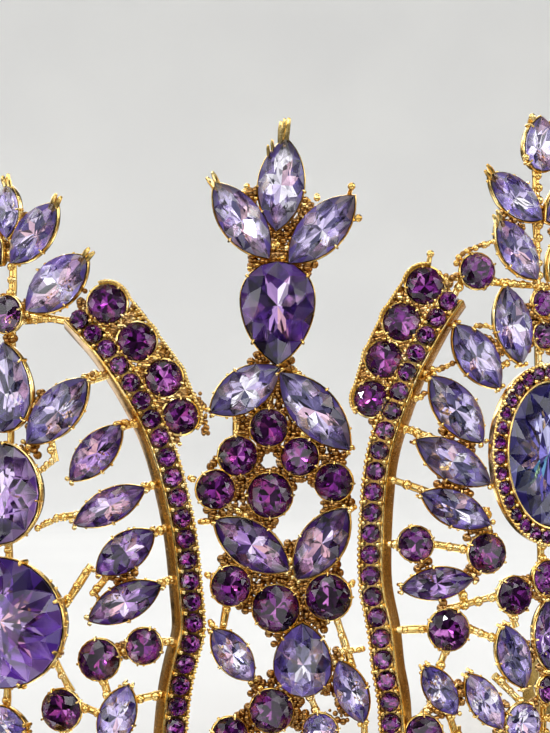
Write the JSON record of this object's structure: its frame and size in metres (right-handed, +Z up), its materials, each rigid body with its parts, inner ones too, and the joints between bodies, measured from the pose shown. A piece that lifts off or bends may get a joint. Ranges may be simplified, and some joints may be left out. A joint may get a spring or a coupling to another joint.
{
  "type": "pageant crown",
  "caption": "Open-backed scalloped crown of gold-plated cast metal: tall jewelled panels and lower spires on a base band, set with lilac, violet and amethyst stones.",
  "frame": {"origin": "middle of the crown's whole outline in plan, on the surface that it stands on", "axes": "+Z up, -Y the way the wearer faces, +X towards the wearer's left side"},
  "size_m": [0.1468, 0.0908, 0.1033],
  "materials": {
    "gold_plate": "polished gold plate on cast zinc alloy",
    "small_amethyst": "rows of small foil-backed stones in gold seats",
    "lilac_stone": "faceted, foil-backed",
    "violet_stone": "faceted, foil-backed",
    "amethyst_stone": "faceted, foil-backed",
    "blue_violet_stone": "faceted, foil-backed"
  },
  "bodies": {
    "root": {"base_band": "gold_plate", "base_row": "small_amethyst", "centre_panel_frame": "gold_plate", "centre_panel_rows": "small_amethyst", "centre_halo_row": "small_amethyst", "left_panel_frame": "gold_plate", "left_panel_rows": "small_amethyst", "right_panel_frame": "gold_plate", "right_panel_rows": "small_amethyst", "left_spire_frame": "gold_plate", "right_spire_frame": "gold_plate", "centre_panel_oval": "blue_violet_stone", "centre_panel_top_pear": "lilac_stone", "left_panel_low_oval": "violet_stone", "left_panel_round": "violet_stone", "left_panel_pear": "lilac_stone", "left_panel_top_navette": "lilac_stone", "right_panel_low_oval": "violet_stone", "right_panel_round": "violet_stone", "right_panel_pear": "lilac_stone", "right_panel_top_navette": "lilac_stone", "left_spire_top_centre_navette": "lilac_stone", "left_spire_top_left_navette": "lilac_stone", "left_spire_top_right_navette": "lilac_stone", "left_spire_pear": "violet_stone", "left_spire_left_leaf": "lilac_stone", "left_spire_right_leaf": "lilac_stone", "left_spire_upper_round": "amethyst_stone", "left_spire_left_round": "amethyst_stone", "left_spire_right_round": "amethyst_stone", "left_spire_far_left_round": "amethyst_stone", "left_spire_middle_round": "amethyst_stone", "left_spire_far_right_round": "amethyst_stone", "left_spire_left_wing": "violet_stone", "left_spire_right_wing": "violet_stone", "left_spire_low_left_round": "amethyst_stone", "left_spire_low_middle_round": "amethyst_stone", "left_spire_low_right_round": "amethyst_stone", "left_spire_low_stones": "lilac_stone", "right_spire_leaves": "lilac_stone", "right_spire_rounds": "amethyst_stone", "centre_panel_leaves": "lilac_stone", "centre_panel_rounds": "amethyst_stone", "centre_finial_leaves": "lilac_stone", "centre_finial_rounds": "amethyst_stone", "left_panel_leaves": "lilac_stone", "left_panel_rounds": "amethyst_stone", "left_finial_leaves": "lilac_stone", "left_shoulder_rounds": "amethyst_stone", "right_panel_leaves": "lilac_stone", "right_panel_rounds": "amethyst_stone", "right_finial_leaves": "lilac_stone", "right_shoulder_rounds": "amethyst_stone"}
  },
  "joints": []
}
